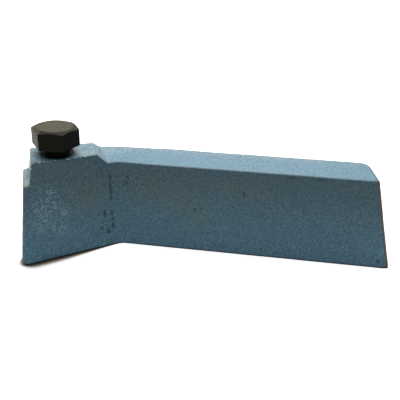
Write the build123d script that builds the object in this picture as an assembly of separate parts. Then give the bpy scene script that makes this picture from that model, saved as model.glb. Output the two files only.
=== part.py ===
from build123d import *
from math import cos, radians, sin, sqrt, tan
import os

# Offset turning tool holder. All lengths are in millimetres and all angles in degrees.
# +X runs along the shank to its butt end and +Z is up. The origin lies on the underside, at
# mid-width, in line with the inner corner where the head turns off the shank towards -Y.

# Shank
SHANK_HEIGHT = 38.0
SHANK_WIDTH = 17.4
SHANK_LENGTH = 101.8  # from the inner corner to the near top corner of the butt
BUTT_LEAN = 14.2  # the butt leans outwards towards its foot
BUTT_SKEW = 8.5  # the far side of the butt is the shorter one

# Head in plan
HEAD_ANGLE = 36.0  # turn of the head's two side walls
HEAD_WIDTH = 16.7
INNER_BEND_RADIUS = 6.0
OUTER_BEND_RADIUS = 70.0
NOSE_ANGLE = 26.5  # turn of the nose and of the raised boss

# Nose, in distances from the inner corner along the boss
NOSE_FOOT_REACH = 41.1
LEDGE_REACH = 35.6
LEDGE_DEPTH = 2.3
LEDGE_HEIGHT = 35.0
NOSE_TOP_REACH = 32.0

# Raised boss round the clamp screw
BOSS_RISE = 4.0  # above the shank's top, at the inner corner
BOSS_SLOPE = 3.0  # the boss climbs towards the nose
BOSS_HEEL_REACH = 7.1  # from the inner corner to the heel of the boss
BOSS_HEEL_STEEPNESS = 50.0
BOSS_REACH_BACK = 10.8  # from the inner corner to the boss's far edge
BOSS_BACK_SLOPE = 40.0
RAMP_SLOPE = 8.0
RAMP_ANGLE = 54.0  # direction of the ramp's foot across the shank
RAMP_FOOT = 5.7  # from the inner corner, against the shank's direction

# Tool bit slot
BIT_SIZE = 9.5
BIT_CLEARANCE = 0.3
SLOT_RISE = 15.0  # climb towards the nose
SLOT_ROOF = 2.5  # metal left between the ledge and the slot

# Clamp screw
SCREW_REACH = 21.8  # from the inner corner, along the boss
SCREW_OFFSET = 4.5  # from the inner corner, across the boss
SCREW_DIAMETER = 12.0
SCREW_LENGTH = 20.0  # under the head
SCREW_TIP_CHAMFER = 1.0
SCREW_CLEARANCE = 0.05
SCREW_GAP = 3.2  # between the boss and the underside of the hexagon
HEX_ACROSS_FLATS = 16.0
HEX_HEIGHT = 7.4
HEX_TOP_DIAMETER = 13.8
HEX_CHAMFER_ANGLE = 22.0
HEX_TURN = -26.0  # turn of the hexagon from the head's direction
HOLE_CHAMFER = 0.6
HOLE_RUN_OUT = 0.5  # below the tip of the seated screw

# Forging edges
EDGE_RADIUS = 0.8
BUTT_EDGE_RADIUS = 1.2
BUTT_FAR_RADIUS = 3.0

FAR = 300.0  # larger than anything on the holder
STANDING = (Align.CENTER, Align.CENTER, Align.MIN)
HANGING = (Align.CENTER, Align.CENTER, Align.MAX)


def direction(angle: float) -> Vector:
    """Unit vector in plan that turns off -X towards -Y by the angle."""
    return Vector(-cos(radians(angle)), -sin(radians(angle)), 0)


def leftward(angle: float) -> Vector:
    """Unit vector in plan square to direction(angle), towards the holder's far side."""
    return Vector(-sin(radians(angle)), cos(radians(angle)), 0)


def half_space(origin: Vector, normal: Vector) -> Part:
    """Solid half-space on the side that the normal points to."""
    return Plane(origin=origin, z_dir=normal) * Box(FAR, FAR, FAR, align=STANDING)


def tilted(horizontal: Vector, steepness: float) -> Vector:
    """Normal of a plane that falls towards the horizontal direction by the steepness."""
    return horizontal * sin(radians(steepness)) + Vector(0, 0, cos(radians(steepness)))


INNER_CORNER = Vector(0, -SHANK_WIDTH / 2, 0)
HEAD_DIRECTION = direction(HEAD_ANGLE)
HEAD_ACROSS = leftward(HEAD_ANGLE)
BOSS_DIRECTION = direction(NOSE_ANGLE)
BOSS_ACROSS = leftward(NOSE_ANGLE)
UP = Vector(0, 0, 1)


def boss_top_normal() -> Vector:
    """Outward normal of the boss's top, and the direction of the clamp screw."""
    return tilted(HEAD_DIRECTION * -1, BOSS_SLOPE)


def boss_top_origin() -> Vector:
    """Where the boss's top would stand over the inner corner."""
    return INNER_CORNER + UP * (SHANK_HEIGHT + BOSS_RISE)


def on_boss_top(point: Vector) -> Vector:
    """The point of the boss's top straight above a point in plan."""
    run = (point - INNER_CORNER).dot(HEAD_DIRECTION)
    return Vector(point.X, point.Y, boss_top_origin().Z + run * tan(radians(BOSS_SLOPE)))


def screw_seat() -> Vector:
    """Where the screw's axis meets the boss's top."""
    plan = INNER_CORNER + BOSS_DIRECTION * SCREW_REACH + BOSS_ACROSS * SCREW_OFFSET
    return on_boss_top(plan)


def bar_outline() -> Sketch:
    """Plan of the bent bar: shank and head, both run out past their ends."""
    head_end = INNER_CORNER + HEAD_DIRECTION * FAR / 2
    head_far_end = head_end + HEAD_ACROSS * HEAD_WIDTH
    far_y = SHANK_WIDTH / 2
    run_back = (far_y - head_far_end.Y) / sin(radians(HEAD_ANGLE))
    far_corner = head_far_end - HEAD_DIRECTION * run_back
    edge = Polyline(
        (FAR / 2, far_y),
        (far_corner.X, far_y),
        (head_far_end.X, head_far_end.Y),
        (head_end.X, head_end.Y),
        (INNER_CORNER.X, INNER_CORNER.Y),
        (FAR / 2, INNER_CORNER.Y),
        close=True,
    )
    outline = make_face(edge)
    outer = outline.vertices().sort_by_distance((far_corner.X, far_y))[0]
    outline = fillet(outer, OUTER_BEND_RADIUS)
    inner = outline.vertices().sort_by_distance((INNER_CORNER.X, INNER_CORNER.Y))[0]
    return fillet(inner, INNER_BEND_RADIUS)


def raised_boss(outline: Sketch) -> Part:
    """What stands above the shank's top: the boss round the screw and its ramp."""
    block = Pos(0, 0, SHANK_HEIGHT) * extrude(outline, BOSS_RISE * 3)
    block -= half_space(boss_top_origin(), boss_top_normal())
    back_edge = on_boss_top(INNER_CORNER + BOSS_DIRECTION * NOSE_TOP_REACH + BOSS_ACROSS * BOSS_REACH_BACK)
    block -= half_space(back_edge, tilted(BOSS_ACROSS, BOSS_BACK_SLOPE))
    heel_edge = on_boss_top(INNER_CORNER + BOSS_DIRECTION * BOSS_HEEL_REACH)
    heel = half_space(heel_edge, tilted(BOSS_DIRECTION * -1, BOSS_HEEL_STEEPNESS))
    ramp_foot = INNER_CORNER + Vector(-RAMP_FOOT, 0, SHANK_HEIGHT)
    ramp = half_space(ramp_foot, tilted(direction(-(90 - RAMP_ANGLE)) * -1, RAMP_SLOPE))
    return block - (heel & ramp)


def nose_cuts() -> Part:
    """The lower nose, and the wall above the ledge that stands back from it."""
    lower_lean = (NOSE_FOOT_REACH - LEDGE_REACH) / LEDGE_HEIGHT
    lower_normal = BOSS_DIRECTION + UP * lower_lean
    lower = half_space(INNER_CORNER + BOSS_DIRECTION * NOSE_FOOT_REACH, lower_normal)
    wall_foot = LEDGE_REACH - LEDGE_DEPTH
    wall_height = boss_top_origin().Z - LEDGE_HEIGHT
    upper_normal = BOSS_DIRECTION + UP * ((wall_foot - NOSE_TOP_REACH) / wall_height)
    upper = half_space(INNER_CORNER + BOSS_DIRECTION * wall_foot + UP * LEDGE_HEIGHT, upper_normal)
    above_ledge = half_space(UP * LEDGE_HEIGHT, UP)
    return lower + (upper & above_ledge)


def butt_corner() -> Vector:
    """Near top corner of the butt."""
    return INNER_CORNER + Vector(SHANK_LENGTH, 0, SHANK_HEIGHT)


def butt_normal() -> Vector:
    """Outward normal of the leaning, skewed butt."""
    return Vector(1, tan(radians(BUTT_SKEW)), tan(radians(BUTT_LEAN))).normalized()


def slot_plane() -> Plane:
    """Plane on the slot's axis below the ledge, with x along the slot up to the nose."""
    along = HEAD_DIRECTION * cos(radians(SLOT_RISE)) + UP * sin(radians(SLOT_RISE))
    screw_offset = (screw_seat() - INNER_CORNER).dot(HEAD_ACROSS)
    centre = INNER_CORNER + HEAD_ACROSS * screw_offset
    mouth = centre + HEAD_DIRECTION * LEDGE_REACH + UP * (LEDGE_HEIGHT - SLOT_ROOF)
    return Plane(origin=mouth, x_dir=along, z_dir=HEAD_ACROSS.cross(along))


def tool_slot() -> Part:
    """Square broached slot for the tool bit, from the nose to the far side of the bend."""
    size = BIT_SIZE + BIT_CLEARANCE
    return slot_plane() * Box(FAR, size, size, align=HANGING)


def screw_plane(height: float) -> Plane:
    """Plane square to the screw, at a height above its seat."""
    normal = boss_top_normal()
    back = HEAD_ACROSS.cross(normal)
    return Plane(origin=screw_seat() + normal * height, x_dir=back, z_dir=normal)


def screw_hole() -> Part:
    """Tapped hole from the boss's top into the slot, as deep as the seated screw reaches."""
    radius = SCREW_DIAMETER / 2 + SCREW_CLEARANCE
    hole = Cylinder(radius, SCREW_LENGTH + HOLE_RUN_OUT, align=HANGING)
    mouth = Cone(radius, radius + HOLE_CHAMFER * 2, HOLE_CHAMFER * 2, align=STANDING)
    return screw_plane(0) * (hole + Pos(0, 0, -HOLE_CHAMFER) * mouth)


def clamp_screw() -> Part:
    """Hexagon-head screw with a chamfered crown and a plain turned end."""
    corner_radius = HEX_ACROSS_FLATS / sqrt(3)
    hexagon = extrude(RegularPolygon(corner_radius, 6, rotation=HEX_TURN), HEX_HEIGHT)
    crown_fall = (corner_radius - HEX_TOP_DIAMETER / 2) * tan(radians(HEX_CHAMFER_ANGLE))
    crown = Cylinder(corner_radius, HEX_HEIGHT - crown_fall, align=STANDING)
    cone = Cone(corner_radius, HEX_TOP_DIAMETER / 2, crown_fall, align=STANDING)
    crown += Pos(0, 0, HEX_HEIGHT - crown_fall) * cone
    shank = Cylinder(SCREW_DIAMETER / 2, SCREW_LENGTH, align=HANGING)
    shank = chamfer(shank.edges().sort_by(Axis.Z)[0], SCREW_TIP_CHAMFER)
    return screw_plane(SCREW_GAP) * ((hexagon & crown) + shank)


def round_edges(body: Part) -> Part:
    """Rounded edges of the forging: generous round the butt, and small elsewhere."""
    far_upright = [e for e in body.edges() if is_on_butt(e) and min(v.Y for v in e.vertices()) > 0]
    body = fillet(far_upright, BUTT_FAR_RADIUS)
    body = fillet([e for e in body.edges() if is_on_butt(e)], BUTT_EDGE_RADIUS)
    clear_of_butt = [e for e in body.edges() if e.center().X < SHANK_LENGTH * 0.9]
    return fillet(clear_of_butt, EDGE_RADIUS)


def is_on_butt(edge: Edge) -> bool:
    """Whether both ends of an edge lie on the butt's face."""
    return all(abs((vertex_point(v) - butt_corner()).dot(butt_normal())) < 0.01 for v in edge.vertices())


def vertex_point(vertex: Vertex) -> Vector:
    """Place of a vertex."""
    return Vector(vertex.X, vertex.Y, vertex.Z)


def holder_body() -> Part:
    """The one-piece forging."""
    outline = bar_outline()
    body = extrude(outline, SHANK_HEIGHT) + raised_boss(outline)
    body -= nose_cuts()
    body -= half_space(butt_corner(), butt_normal())
    body = round_edges(body)
    return body - tool_slot() - screw_hole()


PIECES = {
    "holder_body": holder_body,
    "clamp_screw": clamp_screw,
}


if __name__ == "__main__":
    os.makedirs("parts", exist_ok=True)
    for node, make in PIECES.items():
        export_step(make(), f"parts/{node}.step")
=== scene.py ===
"""Offset turning tool holder: a painted drop forging and its black clamp screw.

Sizes are in millimetres until a mesh is handed to Blender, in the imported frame's own axes:
+X runs along the shank to its butt, +Z is up, and the head turns off towards -X and -Y.
"""

import itertools
import logging
import math
from collections.abc import Callable
from dataclasses import dataclass, field
from enum import Enum

import bmesh
import bpy
import numpy as np
from mathutils import Matrix, Vector, noise


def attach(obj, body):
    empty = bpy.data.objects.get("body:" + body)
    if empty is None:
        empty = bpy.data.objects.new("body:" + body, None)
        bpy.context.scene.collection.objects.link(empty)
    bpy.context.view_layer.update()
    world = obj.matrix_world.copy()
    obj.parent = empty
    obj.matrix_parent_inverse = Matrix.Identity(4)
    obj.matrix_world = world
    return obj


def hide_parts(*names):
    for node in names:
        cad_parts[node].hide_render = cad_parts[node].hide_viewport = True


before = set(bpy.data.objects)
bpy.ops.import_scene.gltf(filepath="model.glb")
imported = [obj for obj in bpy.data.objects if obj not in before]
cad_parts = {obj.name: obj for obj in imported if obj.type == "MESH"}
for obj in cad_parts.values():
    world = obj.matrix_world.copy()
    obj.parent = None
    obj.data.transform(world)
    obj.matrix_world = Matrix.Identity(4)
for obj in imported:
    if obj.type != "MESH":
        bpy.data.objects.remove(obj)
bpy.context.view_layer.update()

log = logging.getLogger("tool_holder")

MM = 0.001
LEAST_STEEPNESS = 0.2  # least squared slope that a move is divided by, so that no point jumps
EASING = 0.6  # how far a vertex goes towards the middle of its neighbours

Field = Callable[[np.ndarray], np.ndarray]
Colour = tuple[float, float, float]
Place = tuple[float, float, float]


class Mask(Enum):
    """Per-vertex masks, from 0 to 1, that the finishes read by name."""

    EDGE = "edge"
    # Pits, dark rims and specks, and a strip of painted shade at the head's foot.
    PIT_AND_SHADE = "pit_and_shade"
    # Painted highlights: pale winding streaks that stand for glints on the head's hammered surface.
    GLINT = "glint"
    STAIN = "stain"
    # Rust colour on the lowest edges and the butt, and a rust-tinted band of painted shade at the head's
    # foot.
    GRIME_AND_SHADE = "grime_and_shade"
    # Painted sheen on the screw's crown and painted light on one of its flats.
    SHEEN = "sheen"
    # Pale paint, partly worn and partly a painted sheen.
    FADE = "fade_and_sheen"
    # Painted shade: the near walls grow darker towards their top.
    WALL_TOP_SHADE = "deep"


class Slot(Enum):
    """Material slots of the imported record."""

    FORGING = "painted_forging"
    SCREW = "black_screw"


# ---------------------------------------------------------------- solid fields


def unit(vector: tuple[float, float, float] | np.ndarray) -> np.ndarray:
    """The vector at length 1."""
    vector = np.asarray(vector, float)
    return vector / np.linalg.norm(vector)


def heading(angle: float) -> np.ndarray:
    """Unit vector in plan that turns off -X towards -Y by an angle in degrees."""
    return np.array([-math.cos(math.radians(angle)), -math.sin(math.radians(angle)), 0.0])


def leftward(angle: float) -> np.ndarray:
    """Unit vector in plan square to heading(angle), towards the far side."""
    return np.array([-math.sin(math.radians(angle)), math.cos(math.radians(angle)), 0.0])


def falling(horizontal: np.ndarray, steepness: float) -> np.ndarray:
    """Normal of a plane that falls towards a horizontal direction by a steepness in degrees."""
    slope = math.radians(steepness)
    return horizontal * math.sin(slope) + np.array([0.0, 0.0, math.cos(slope)])


def beyond(points: np.ndarray, origin: np.ndarray, normal: np.ndarray) -> np.ndarray:
    """Signed distance of points from a plane, positive on the side of its normal."""
    return (points - origin) @ unit(normal)


def meet(one: np.ndarray, other: np.ndarray, radius: float, cosine: float = 0.0) -> np.ndarray:
    """Where two solids overlap, with the edge between them rounded.

    Args:
        one: Signed distances to the first solid.
        other: Signed distances to the second solid.
        radius: Radius of the rounded edge.
        cosine: Cosine of the angle between the two faces' normals.

    Returns:
        Signed distances to the overlap.
    """
    u, v = one + radius, other + radius
    spread = 1.0 - cosine * cosine
    a = (u - v * cosine) / spread
    b = (v - u * cosine) / spread
    arc = np.sqrt(np.maximum(a * a + b * b + 2 * cosine * a * b, 0.0)) - radius
    return np.where((a > 0) & (b > 0), arc, np.maximum(one, other))


def join(one: np.ndarray, other: np.ndarray, radius: float, cosine: float = 0.0) -> np.ndarray:
    """Two solids together, with the corner between them filled to a radius."""
    return -meet(-one, -other, radius, cosine)


def gradient(distance: Field, points: np.ndarray, reach: float = 0.02) -> np.ndarray:
    """Slope of a field at each point, by central differences.

    Args:
        distance: Field of signed distances.
        points: Places to measure at.
        reach: Half the length that the slope is taken over.

    Returns:
        One vector for each point.
    """
    slope = np.empty_like(points)
    for axis in range(3):
        step = np.zeros(3)
        step[axis] = reach
        slope[:, axis] = (distance(points + step) - distance(points - step)) / (2 * reach)
    return slope


def bending(distance: Field, points: np.ndarray, reach: float = 0.7) -> np.ndarray:
    """How sharply a field's surface bends.

    Args:
        distance: Field of signed distances.
        points: Places to measure at.
        reach: How far from each point its neighbours are taken.

    Returns:
        One value for each point, above 0 on an edge and below 0 in a corner.
    """
    total = -6 * distance(points)
    for axis in range(3):
        step = np.zeros(3)
        step[axis] = reach
        total += distance(points + step) + distance(points - step)
    return total / reach


def onto_surface(distance: Field, points: np.ndarray, rounds: int = 3) -> np.ndarray:
    """Moves points along a field's slope until they lie on its surface.

    Args:
        distance: Field of signed distances.
        points: Points near the surface.
        rounds: How often they are moved.

    Returns:
        The moved points.
    """
    for _ in range(rounds):
        slope = gradient(distance, points)
        steepness = np.maximum((slope * slope).sum(1), LEAST_STEEPNESS)
        points = points - slope * (distance(points) / steepness)[:, None]
    return points


def surface_net(
    distance: Field, low: np.ndarray, high: np.ndarray, step: float
) -> tuple[np.ndarray, np.ndarray]:
    """Even quad mesh over a field's surface.

    Args:
        distance: Field that is negative inside the solid.
        low: Lowest corner of the block that holds the solid.
        high: Highest corner of that block.
        step: Size of a quad.

    Returns:
        Vertices, and quads that wind outwards.
    """
    counts = np.ceil((high - low) / step).astype(int) + 1
    axes = [low[axis] + step * np.arange(counts[axis]) for axis in range(3)]
    slabs = []
    for x in axes[0]:
        slab = np.stack(np.meshgrid([x], axes[1], axes[2], indexing="ij"), -1).reshape(-1, 3)
        slabs.append(distance(slab) < 0)
    inside = np.array(slabs).reshape(counts)
    cells = counts - 1
    filled = np.zeros(cells, int)
    for i, j, k in itertools.product((0, 1), repeat=3):
        filled += inside[i:i + cells[0], j:j + cells[1], k:k + cells[2]]
    mixed = (filled > 0) & (filled < 8)
    number = np.full(cells, -1)
    number[mixed] = np.arange(mixed.sum())
    vertices = low + (np.argwhere(mixed) + 0.5) * step
    quads = []
    for axis in range(3):
        before = np.delete(inside, -1, axis)
        after = np.delete(inside, 0, axis)
        for solid_first in (True, False):
            crossed = np.argwhere((before & ~after) if solid_first else (~before & after))
            ring = []
            for back_u, back_v in ((1, 1), (0, 1), (0, 0), (1, 0)):
                cell = crossed.copy()
                cell[:, (axis + 1) % 3] -= back_u
                cell[:, (axis + 2) % 3] -= back_v
                ring.append(number[cell[:, 0], cell[:, 1], cell[:, 2]])
            quads.append(np.stack(ring if solid_first else ring[::-1], 1))
    return vertices, np.concatenate(quads)


def evened(distance: Field, vertices: np.ndarray, quads: np.ndarray, rounds: int) -> np.ndarray:
    """Spreads vertices evenly: each is eased towards its neighbours and put back on the surface.

    Args:
        distance: Field of signed distances.
        vertices: Vertices of the net.
        quads: The net's faces.
        rounds: How often the vertices are eased.

    Returns:
        The moved vertices.
    """
    ends = np.concatenate([quads, np.roll(quads, -1, 1)], 1).reshape(-1)
    others = np.concatenate([np.roll(quads, -1, 1), quads], 1).reshape(-1)
    share = np.bincount(ends, minlength=len(vertices)).astype(float)
    for _ in range(rounds):
        sums = [np.bincount(ends, vertices[others, axis], len(vertices)) for axis in range(3)]
        vertices = (1 - EASING) * vertices + EASING * np.stack(sums, 1) / share[:, None]
        vertices = onto_surface(distance, vertices, 2)
    return onto_surface(distance, vertices, 3)


def swell(points: np.ndarray, size: float, seed: float) -> np.ndarray:
    """Smooth noise of about -1 to 1 whose lumps have a size in millimetres."""
    shift = Vector((seed, seed * 1.7, seed * 2.3))
    return np.array([noise.noise(Vector(p) / size + shift) for p in points])


def ease(values: np.ndarray, low: float, high: float) -> np.ndarray:
    """Smooth step from 0 at low to 1 at high."""
    t = np.clip((values - low) / (high - low), 0.0, 1.0)
    return t * t * (3 - 2 * t)


# ---------------------------------------------------------------- Blender helpers


def make_object(name: str, vertices: np.ndarray, faces: list | np.ndarray) -> bpy.types.Object:
    """Makes a mesh object and links it to the scene.

    Args:
        name: Name of the object and of its mesh.
        vertices: Vertices in millimetres.
        faces: Rings of vertex numbers.

    Returns:
        The object.
    """
    mesh = bpy.data.meshes.new(name)
    rings = faces.tolist() if isinstance(faces, np.ndarray) else faces
    mesh.from_pydata((np.asarray(vertices) * MM).tolist(), [], rings)
    mesh.update()
    made = bpy.data.objects.new(name, mesh)
    bpy.context.scene.collection.objects.link(made)
    return made


def points_of(piece: bpy.types.Object) -> np.ndarray:
    """Reads a piece's vertices.

    Args:
        piece: A mesh object.

    Returns:
        Its vertices in millimetres.
    """
    flat = np.empty(len(piece.data.vertices) * 3)
    piece.data.vertices.foreach_get("co", flat)
    return flat.reshape(-1, 3) / MM


def write_mask(piece: bpy.types.Object, mask: Mask, values: np.ndarray) -> None:
    """Stores a mask on the piece's vertices."""
    made = piece.data.attributes.new(mask.value, "FLOAT", "POINT")
    made.data.foreach_set("value", np.clip(values, 0, 1).astype(np.float32))


def cut(piece: bpy.types.Object, tool: bpy.types.Object) -> None:
    """Takes a closed tool out of a piece and removes the tool.

    Args:
        piece: The mesh object that is cut.
        tool: The cutting tool, whose material the cut faces take.
    """
    change = piece.modifiers.new("cut", "BOOLEAN")
    change.operation = "DIFFERENCE"
    change.solver = "EXACT"
    change.material_mode = "TRANSFER"
    change.object = tool
    bpy.context.view_layer.update()
    evaluated = piece.evaluated_get(bpy.context.evaluated_depsgraph_get())
    mesh = bpy.data.meshes.new_from_object(evaluated)
    piece.modifiers.clear()
    old = piece.data
    piece.data = mesh
    mesh.name = piece.name
    bpy.data.meshes.remove(old)
    bpy.data.objects.remove(tool)


def shade(piece: bpy.types.Object, sharp_angle: float) -> None:
    """Smooth shading that breaks at edges sharper than an angle in degrees."""
    piece.data.shade_smooth()
    piece.data.set_sharp_from_angle(angle=math.radians(sharp_angle))


# ---------------------------------------------------------------- shader helpers


@dataclass
class Graph:
    """Short-hand for building a node tree."""

    tree: bpy.types.NodeTree

    def node(self, kind: str, inputs: dict | None = None, **settings: object) -> bpy.types.Node:
        """Adds a node, sets its properties, and links or sets its inputs.

        Args:
            kind: Node type, without the leading "ShaderNode" unless it is a Node type.
            inputs: Socket name or index to a value or an output socket.
            **settings: Node properties.

        Returns:
            The node.
        """
        made = self.tree.nodes.new(kind if kind.startswith("Node") else "ShaderNode" + kind)
        for name, value in settings.items():
            setattr(made, name, value)
        for name, value in (inputs or {}).items():
            if isinstance(value, bpy.types.NodeSocket):
                self.tree.links.new(value, made.inputs[name])
            else:
                made.inputs[name].default_value = value
        return made

    def math(self, operation: str, one: object, other: object = 0.0) -> bpy.types.NodeSocket:
        """A clamped sum, product or other operation on two values."""
        return self.node("Math", {0: one, 1: other}, operation=operation, use_clamp=True).outputs[0]

    def mix(self, factor: object, one: object, other: object, blend: str = "MIX") -> bpy.types.NodeSocket:
        """Mixes two colours.

        Args:
            factor: Share of the second colour.
            one: First colour, or the socket that gives it.
            other: Second colour, or the socket that gives it.
            blend: How the second is laid over the first.

        Returns:
            The socket of the mixed colour.
        """
        made = self.node("Mix", data_type="RGBA", blend_type=blend)
        for socket, value in ((made.inputs[0], factor), (made.inputs[6], one), (made.inputs[7], other)):
            if isinstance(value, bpy.types.NodeSocket):
                self.tree.links.new(value, socket)
            elif isinstance(value, tuple):
                socket.default_value = (*value, 1.0)
            else:
                socket.default_value = value
        return made.outputs[2]

    def span(
        self, value: object, low: float, high: float, to_low: float = 0.0, to_high: float = 1.0
    ) -> bpy.types.NodeSocket:
        """A value carried smoothly from one range to another."""
        inputs = {"Value": value, "From Min": low, "From Max": high, "To Min": to_low, "To Max": to_high}
        return self.node("MapRange", inputs, interpolation_type="SMOOTHSTEP").outputs[0]

    def attribute(self, mask: Mask) -> bpy.types.NodeSocket:
        """A per-vertex mask as a value."""
        return self.node("Attribute", attribute_name=mask.value).outputs["Fac"]

    def group(self, tree: bpy.types.NodeTree, inputs: dict) -> bpy.types.Node:
        """Places a node group.

        Args:
            tree: The group.
            inputs: Socket name to a value or an output socket.

        Returns:
            The group's node.
        """
        made = self.node("Group", node_tree=tree)
        for name, value in inputs.items():
            if isinstance(value, bpy.types.NodeSocket):
                self.tree.links.new(value, made.inputs[name])
            else:
                made.inputs[name].default_value = value
        return made

    def noise(
        self, place: object, scale: object, detail: float, roughness: float = 0.5
    ) -> bpy.types.NodeSocket:
        """A cloud of values round 0.5, whose scale is lumps to the metre."""
        inputs = {"Vector": place, "Scale": scale, "Detail": detail, "Roughness": roughness}
        return self.node("TexNoise", inputs).outputs["Fac"]

    def open_math(self, operation: str, one: object, other: object = 0.0) -> bpy.types.NodeSocket:
        """A sum, product or other operation on two values that may leave the range from 0 to 1."""
        return self.node("Math", {0: one, 1: other}, operation=operation).outputs[0]


def new_group(
    name: str, inputs: dict[str, float | None], outputs: tuple[str, ...]
) -> tuple[Graph, bpy.types.Node, bpy.types.Node]:
    """An empty node group with named sockets.

    Args:
        name: Group name.
        inputs: Socket name to its default, or None for a vector.
        outputs: Names of the value sockets that it puts out.

    Returns:
        The group's graph, its input node and its output node.
    """
    tree = bpy.data.node_groups.new(name, "ShaderNodeTree")
    for label, default in inputs.items():
        kind = "NodeSocketVector" if default is None else "NodeSocketFloat"
        socket = tree.interface.new_socket(label, in_out="INPUT", socket_type=kind)
        if default is not None:
            socket.default_value = default
    for label in outputs:
        tree.interface.new_socket(label, in_out="OUTPUT", socket_type="NodeSocketFloat")
    graph = Graph(tree)
    return graph, graph.node("NodeGroupInput"), graph.node("NodeGroupOutput")


def grain_group() -> bpy.types.NodeTree:
    """Fine sandy grain: a value round 0.5, with a coarser lump under it.

    Returns:
        The group, which puts out the grain and a height.
    """
    names = {"Place": None, "Size": 0.5, "Lumps": 0.35}
    graph, given, out = new_group("grain", names, ("Grain", "Height"))
    place = given.outputs["Place"]
    per_metre = graph.open_math("DIVIDE", 1.0 / MM, given.outputs["Size"])
    coarse_scale = graph.open_math("MULTIPLY", per_metre, 0.22)
    fine = graph.noise(place, per_metre, 3.0, 0.62)
    coarse = graph.noise(place, coarse_scale, 2.0)
    share = graph.node("Mix", {0: given.outputs["Lumps"], 2: fine, 3: coarse})
    graph.tree.links.new(fine, out.inputs["Grain"])
    graph.tree.links.new(share.outputs[0], out.inputs["Height"])
    return graph.tree


def wear_group() -> bpy.types.NodeTree:
    """Worn edges: an edge mask eaten into by noise.

    Returns:
        The group, which puts out how worn each place is.
    """
    names = {"Place": None, "Edge": 0.0, "Amount": 0.5, "Size": 1.2}
    graph, given, out = new_group("edge_wear_and_highlight", names, ("Worn",))
    per_metre = graph.open_math("DIVIDE", 1.0 / MM, given.outputs["Size"])
    bite = graph.noise(given.outputs["Place"], per_metre, 5.0, 0.7)
    reach = graph.open_math("MULTIPLY", given.outputs["Edge"], given.outputs["Amount"])
    bitten = graph.open_math("ADD", reach, bite)
    graph.tree.links.new(graph.span(bitten, 0.92, 1.02), out.inputs["Worn"])
    return graph.tree


def blotch_group() -> bpy.types.NodeTree:
    """Wide soft blotches: a mask from 0 to 1.

    Returns:
        The group, which puts out the mask.
    """
    names = {"Place": None, "Size": 12.0, "Low": 0.45, "High": 0.65}
    graph, given, out = new_group("blotches", names, ("Blotch",))
    per_metre = graph.open_math("DIVIDE", 1.0 / MM, given.outputs["Size"])
    cloud = graph.noise(given.outputs["Place"], per_metre, 4.0, 0.6)
    inputs = {"Value": cloud, "From Min": given.outputs["Low"], "From Max": given.outputs["High"]}
    carried = graph.node("MapRange", inputs, interpolation_type="SMOOTHSTEP")
    graph.tree.links.new(carried.outputs[0], out.inputs["Blotch"])
    return graph.tree


@dataclass
class Effects:
    """Node groups that several finishes share."""

    grain: bpy.types.NodeTree = field(default_factory=grain_group)
    wear: bpy.types.NodeTree = field(default_factory=wear_group)
    blotch: bpy.types.NodeTree = field(default_factory=blotch_group)


def start_material(name: str) -> tuple[bpy.types.Material, Graph, bpy.types.Node, bpy.types.NodeSocket]:
    """Starts a material.

    Args:
        name: Name of the material.

    Returns:
        The material, its graph, its Principled BSDF and the object's own coordinates.
    """
    material = bpy.data.materials.new(name)
    material.use_nodes = True
    graph = Graph(material.node_tree)
    surface = material.node_tree.nodes["Principled BSDF"]
    place = graph.node("TexCoord").outputs["Object"]
    return material, graph, surface, place


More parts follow.
